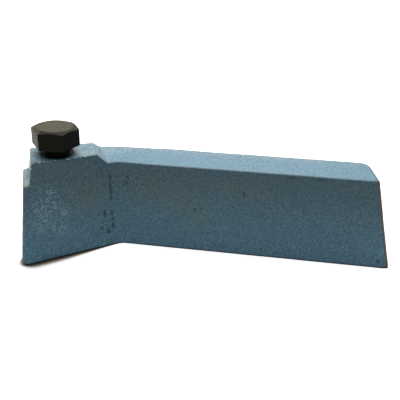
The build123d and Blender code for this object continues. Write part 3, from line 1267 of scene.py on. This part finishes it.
@dataclass
class ClampScrewPiece:
    """Hexagon-head screw with a chamfered crown, a cut thread and a turned tip."""

    sizes: HolderSizes
    across_flats: float = 16.0
    head_height: float = 7.4
    top_diameter: float = 13.8
    crown_angle: float = 22.0
    hex_turn: float = -26.0
    corner_reach: float = 9.16
    foot_chamfer: float = 0.35
    neck: float = 0.9
    pitch: float = 1.75
    tip_chamfer: float = 1.0
    thread_depth: float = 0.6134  # share of the pitch
    thread_half_gap: float = 0.4375  # half the gap between two crests, as a share of the pitch
    thread_flank: float = 0.3125  # width of one flank, as a share of the pitch
    rows_to_a_turn: int = 16
    # Direction in degrees of the flat that is painted light.
    lit_flat: float = 40.0
    columns: int = 144
    sharp_angle: float = 32.0

    def angles(self) -> np.ndarray:
        """Angles of the grid's columns round the screw, with one on each corner of the hexagon."""
        return np.radians(self.hex_turn) + 2 * np.pi * np.arange(self.columns) / self.columns

    def off_flat(self, turn: np.ndarray) -> np.ndarray:
        """Angle of each direction from the middle of its flat, in degrees."""
        return (np.degrees(turn) - self.hex_turn) % 60 - 30

    def hexagon(self, turn: np.ndarray) -> np.ndarray:
        """Reach of the hexagon's side at each angle, with its corners turned off."""
        flat = self.across_flats / 2 / np.cos(np.radians(self.off_flat(turn)))
        return np.minimum(flat, self.corner_reach)

    def crown_height(self, reach: np.ndarray) -> np.ndarray:
        """Height of the chamfered crown at a distance from the axis."""
        fall = (reach - self.top_diameter / 2) * math.tan(math.radians(self.crown_angle))
        return self.head_height - np.maximum(fall, 0.0)

    def thread_radius(self, turn: np.ndarray, height: float) -> np.ndarray:
        """Works out the cut thread.

        Args:
            turn: Angles round the screw.
            height: Height, which is negative below the head.

        Returns:
            The radius at each angle.
        """
        crest = self.sizes.screw_diameter / 2
        depth = self.thread_depth * self.pitch
        phase = (height / self.pitch - turn / (2 * np.pi)) % 1.0
        groove = np.clip((self.thread_half_gap - np.abs(phase - 0.5)) / self.thread_flank, 0.0, 1.0)
        run_out = float(ease(np.array([-height]), self.neck, self.neck + 1.2)[0])
        tip = self.sizes.screw_length - self.tip_chamfer
        turned = crest - max(-height - tip, 0.0)
        return np.minimum(crest - depth * groove * run_out, turned)

    def rows(self) -> list[tuple[np.ndarray, np.ndarray]]:
        """Works out the screw's outline.

        Returns:
            Rows from the crown to the tip, each with its reach and its height at each column.
        """
        turn = self.angles()
        level = np.ones_like(turn)
        side = self.hexagon(turn)
        rim = self.top_diameter / 2
        rows = [(level * rim * part, level * self.head_height) for part in (0.25, 0.5, 0.75, 0.9, 0.965)]
        rows.append((level * (rim - 0.02), level * (self.head_height - 0.01)))
        rows.append((level * (rim + 0.14), self.crown_height(level * (rim + 0.14))))
        for part in (0.2, 0.45, 0.7, 0.88):
            reach = rim + 0.14 + (side - rim - 0.14) * part
            rows.append((reach, self.crown_height(reach)))
        shoulder = self.crown_height(side)
        rows.append((side - 0.06, self.crown_height(side - 0.06)))
        rows.append((side - 0.004, shoulder - 0.07))
        for part in (0.12, 0.3, 0.5, 0.7, 0.88):
            rows.append((side, shoulder + (self.foot_chamfer - shoulder) * part))
        rows.append((side, level * self.foot_chamfer))
        rows.append((side - 0.10, level * 0.1))
        rows.append((side - 0.35, level * 0.0))
        crest = self.sizes.screw_diameter / 2
        for part in (0.7, 0.4, 0.12):
            rows.append((crest + (side - 0.35 - crest) * part, level * 0.0))
        rows.append((level * (crest + 0.1), level * 0.0))
        rows.append((level * crest, level * -0.1))
        rows.append((level * crest, level * -0.6 * self.neck))
        bottom = self.sizes.screw_length
        steps = int(bottom / self.pitch * self.rows_to_a_turn)
        for at in np.linspace(-self.neck, -bottom, steps):
            rows.append((self.thread_radius(turn, at), level * at))
        end = self.thread_radius(turn, -bottom)
        rows += [(end * part, level * -bottom) for part in (0.8, 0.5, 0.2)]
        return rows

    def placed(self, reach: np.ndarray, height: np.ndarray, turn: np.ndarray) -> np.ndarray:
        """Places points of the screw in the frame.

        Args:
            reach: Distances from the axis.
            height: Heights above the underside of the head.
            turn: Angles round the axis.

        Returns:
            The points in millimetres.
        """
        s = self.sizes
        back = np.cross(s.head_across, s.screw_axis)
        side = np.cross(s.screw_axis, back)
        foot = s.seat + s.screw_axis * s.screw_gap
        out = back[None] * np.cos(turn)[:, None] + side[None] * np.sin(turn)[:, None]
        return foot + out * reach[:, None] + s.screw_axis * height[:, None]

    def build(self, finish: bpy.types.Material) -> bpy.types.Object:
        """Builds the screw.

        Args:
            finish: Finish of the whole screw.

        Returns:
            The piece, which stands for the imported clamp_screw.
        """
        turn = self.angles()
        rows = self.rows()
        count = self.columns
        top = self.placed(np.zeros(1), np.full(1, self.head_height), np.zeros(1))
        tip = self.placed(np.zeros(1), np.full(1, -self.sizes.screw_length), np.zeros(1))
        vertices = np.concatenate([top] + [self.placed(*row, turn) for row in rows] + [tip])
        faces: list[list[int]] = [[0, 1 + i, 1 + (i + 1) % count] for i in range(count)]
        for row in range(len(rows) - 1):
            for i in range(count):
                j = (i + 1) % count
                start = 1 + row * count
                faces.append([start + i, start + count + i, start + count + j, start + j])
        start, last = 1 + (len(rows) - 1) * count, len(vertices) - 1
        faces += [[start + i, last, start + (i + 1) % count] for i in range(count)]
        piece = make_object("clamp_screw_threaded", vertices, faces)
        piece.data.materials.append(finish)
        self.write_masks(piece)
        shade(piece, self.sharp_angle)
        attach(piece, "screw")
        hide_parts("clamp_screw")
        log.info("%s: %d faces", piece.name, len(piece.data.polygons))
        return piece

    def write_masks(self, piece: bpy.types.Object) -> None:
        """Stores the masks: a painted sheen on the crown, painted light on the flat that faces left and
        front, and the hexagon's worn edges.

        Args:
            piece: The finished screw.
        """
        s = self.sizes
        arm = points_of(piece) - (s.seat + s.screw_axis * s.screw_gap)
        height = arm @ s.screw_axis
        plan = arm - height[:, None] * s.screw_axis
        reach = np.linalg.norm(plan, axis=1)
        back = np.cross(s.head_across, s.screw_axis)
        side = np.cross(s.screw_axis, back)
        turn = np.arctan2(plan @ side, plan @ back)
        rim_reach = self.top_diameter / 2
        # Painted sheen on the crown and painted light on the flat that faces left and front.
        crown = ease(-reach, -rim_reach - 0.25, -rim_reach + 0.35) * ease(height, 2.0, 4.0)
        facing = plan @ heading(self.lit_flat) / np.maximum(reach, 0.1)
        lit_flat_mask = ease(facing, 0.84, 0.90) * ease(height, 0.0, 0.5)
        write_mask(piece, Mask.SHEEN, np.maximum(crown, 0.90 * lit_flat_mask))
        near_corner = ease(np.abs(self.off_flat(turn)), 26.5, 29.5)
        corner = near_corner * ease(height, 0.1, 0.6) * ease(reach, 7.6, 8.6)
        rim = ease(-np.abs(reach - rim_reach), -0.35, -0.05) * ease(height, 6.0, 6.8)
        shoulder = ease(-np.abs(height - self.crown_height(reach)), -0.5, -0.1) * ease(reach, 7.7, 8.0)
        edges = np.maximum.reduce([corner, 0.5 * rim, 0.7 * shoulder])
        write_mask(piece, Mask.EDGE, edges * ease(height, 0.0, 0.4))


# ---------------------------------------------------------------- the studio


@dataclass(frozen=True)
class Lamp:
    """A square soft lamp: where it stands and looks, in metres, its width and its power in watts."""

    name: str
    place: Place
    target: Place
    width: float
    watts: float


LAMPS = (
    Lamp("key_lamp", (-0.30, 0.26, 0.60), (0.0, 0.0, 0.02), 0.36, 1.7),
    Lamp("back_lamp", (0.02, 0.42, 0.52), (0.03, 0.0, 0.02), 0.45, 3.6),
    Lamp("left_lamp", (-0.60, 0.02, 0.22), (0.0, 0.0, 0.03), 0.35, 0.35),
    Lamp("floor_lamp", (0.04, -0.02, 0.50), (0.04, -0.02, 0.0), 0.14, 0.9),
    Lamp("low_fill", (0.05, -0.42, 0.05), (0.03, 0.0, 0.01), 0.30, 0.31),
)


@dataclass
class Studio:
    """Pale floor, soft lamps and the camera."""

    focal_pixels: float = 520.0
    frame_pixels: float = 400.0
    camera_place: Place = (63.07, -189.57, 123.48)
    camera_right: Place = (0.98671908, 0.16225437, 0.00767908)
    camera_forward: Place = (-0.13901431, 0.86795438, -0.47679158)
    sensor: float = 36.0
    floor_width: float = 4.0
    floor_cells: int = 8
    floor_matt: Colour = (0.80, 0.80, 0.80)
    floor_glow: float = 0.72
    far_glow: float = 1.0
    shadow: Colour = (0.16, 0.12, 0.07)
    shadow_samples: int = 24
    sky: Colour = (0.95, 0.98, 1.0)
    sky_strength: float = 0.09

    def camera(self) -> bpy.types.Object:
        """Places the camera.

        Returns:
            The camera, which is the scene's own.
        """
        data = bpy.data.cameras.new("camera")
        data.sensor_width = self.sensor
        data.sensor_fit = "HORIZONTAL"
        data.lens = self.focal_pixels / self.frame_pixels * self.sensor
        data.clip_start, data.clip_end = 0.01, 20.0
        made = bpy.data.objects.new("camera", data)
        bpy.context.scene.collection.objects.link(made)
        right = Vector(self.camera_right).normalized()
        back = -Vector(self.camera_forward).normalized()
        up = back.cross(right).normalized()
        turn = Matrix((right, up, back)).transposed().to_4x4()
        made.matrix_world = Matrix.Translation(Vector(self.camera_place) * MM) @ turn
        bpy.context.scene.camera = made
        return made

    def light(self, lamp: Lamp) -> None:
        """Places a lamp.

        Args:
            lamp: The lamp.
        """
        data = bpy.data.lights.new(lamp.name, "AREA")
        data.shape = "SQUARE"
        data.size = lamp.width
        data.energy = lamp.watts
        made = bpy.data.objects.new(lamp.name, data)
        bpy.context.scene.collection.objects.link(made)
        made.location = lamp.place
        towards = Vector(lamp.target) - Vector(lamp.place)
        made.rotation_euler = towards.to_track_quat("-Z", "Y").to_euler()

    def seen_white(self, graph: Graph) -> bpy.types.NodeSocket:
        """Tells which rays see the studio as white.

        Args:
            graph: Graph of the floor's or the sky's shader.

        Returns:
            1 for rays from the camera and for reflected and refracted ones, 0 for diffuse light.
        """
        path = graph.node("LightPath")
        either = graph.math("MAXIMUM", path.outputs["Is Camera Ray"], path.outputs["Is Glossy Ray"])
        return graph.math("MAXIMUM", either, path.outputs["Is Transmission Ray"])

    def contact(self, graph: Graph) -> bpy.types.NodeSocket:
        """Finds the contact shadow, which is wider towards the nose.

        Args:
            graph: Graph of the floor's shader.

        Returns:
            1 where the floor is closed in under the object, and 0 in the open.
        """
        place = graph.node("TexCoord").outputs["Object"]
        along = graph.node("SeparateXYZ", {0: place}).outputs[0]
        under_head = graph.span(along, 0.006, -0.030)
        behind_nose = graph.span(along, -0.0385, -0.0350)
        widened = graph.math("MULTIPLY", under_head, behind_nose)
        reach = graph.span(widened, 0.0, 1.0, 0.0006, 0.0068)
        occlusion = graph.node("AmbientOcclusion", {"Distance": reach}, samples=self.shadow_samples)
        return graph.span(occlusion.outputs["AO"], 0.88, 0.56)

    def floor(self) -> bpy.types.Object:
        """Makes a pale floor that reads white round a soft shadow.

        Returns:
            The floor.
        """
        half = self.floor_width / 2 / MM
        cells = self.floor_cells
        grid = np.linspace(-half, half, cells + 1)
        vertices = np.array([(x, y, 0.0) for y in grid for x in grid])
        row = cells + 1
        corners = [j * row + i for j in range(cells) for i in range(cells)]
        quads = [[at, at + 1, at + row + 1, at + row] for at in corners]
        made = make_object("floor", vertices, quads)
        material = bpy.data.materials.new("floor_white")
        material.use_nodes = True
        tree = material.node_tree
        tree.nodes.clear()
        graph = Graph(tree)
        matt = graph.node("BsdfDiffuse", {"Color": (*self.floor_matt, 1.0)})
        place = graph.node("TexCoord").outputs["Object"]
        distance = graph.node("VectorMath", {0: place}, operation="LENGTH").outputs["Value"]
        strength = graph.span(distance, 0.15, 0.90, self.floor_glow, self.far_glow)
        glow = graph.node("Emission", {"Color": (1.0, 1.0, 1.0, 1.0), "Strength": strength})
        lit = graph.node("AddShader", {0: matt.outputs[0], 1: glow.outputs[0]})
        dusk = graph.node("BsdfDiffuse", {"Color": (*self.shadow, 1.0)})
        both = graph.node("MixShader", {0: self.contact(graph), 1: lit.outputs[0], 2: dusk.outputs[0]})
        pick = graph.node("MixShader", {0: self.seen_white(graph), 1: matt.outputs[0], 2: both.outputs[0]})
        out = graph.node("OutputMaterial")
        tree.links.new(pick.outputs[0], out.inputs["Surface"])
        made.data.materials.append(material)
        return made

    def world(self) -> None:
        """A dim soft sky that reads white behind the object."""
        world = bpy.data.worlds.new("studio")
        bpy.context.scene.world = world
        world.use_nodes = True
        tree = world.node_tree
        tree.nodes.clear()
        graph = Graph(tree)
        soft = graph.node("Background", {"Color": (*self.sky, 1.0), "Strength": self.sky_strength})
        white = graph.node("Background", {"Color": (1.0, 1.0, 1.0, 1.0), "Strength": 1.0})
        pick = graph.node("MixShader", {0: self.seen_white(graph), 1: soft.outputs[0], 2: white.outputs[0]})
        out = graph.node("OutputWorld")
        tree.links.new(pick.outputs[0], out.inputs["Surface"])

    def build(self) -> None:
        """Sets up the whole studio."""
        self.world()
        self.floor()
        for lamp in LAMPS:
            self.light(lamp)
        self.camera()
        bpy.context.scene.view_settings.view_transform = "Standard"
        log.info("studio ready")


def main() -> None:
    """Builds the holder, its screw and the studio."""
    logging.basicConfig(level=logging.INFO, format="%(name)s %(message)s")
    effects = Effects()
    sizes = HolderSizes()
    ForgedBody(sizes).build(ForgingPaint().material(effects), BroachedSteel().material(effects))
    ClampScrewPiece(sizes).build(BlackOxide().material(effects))
    Studio().build()


if __name__ == "__main__":
    main()
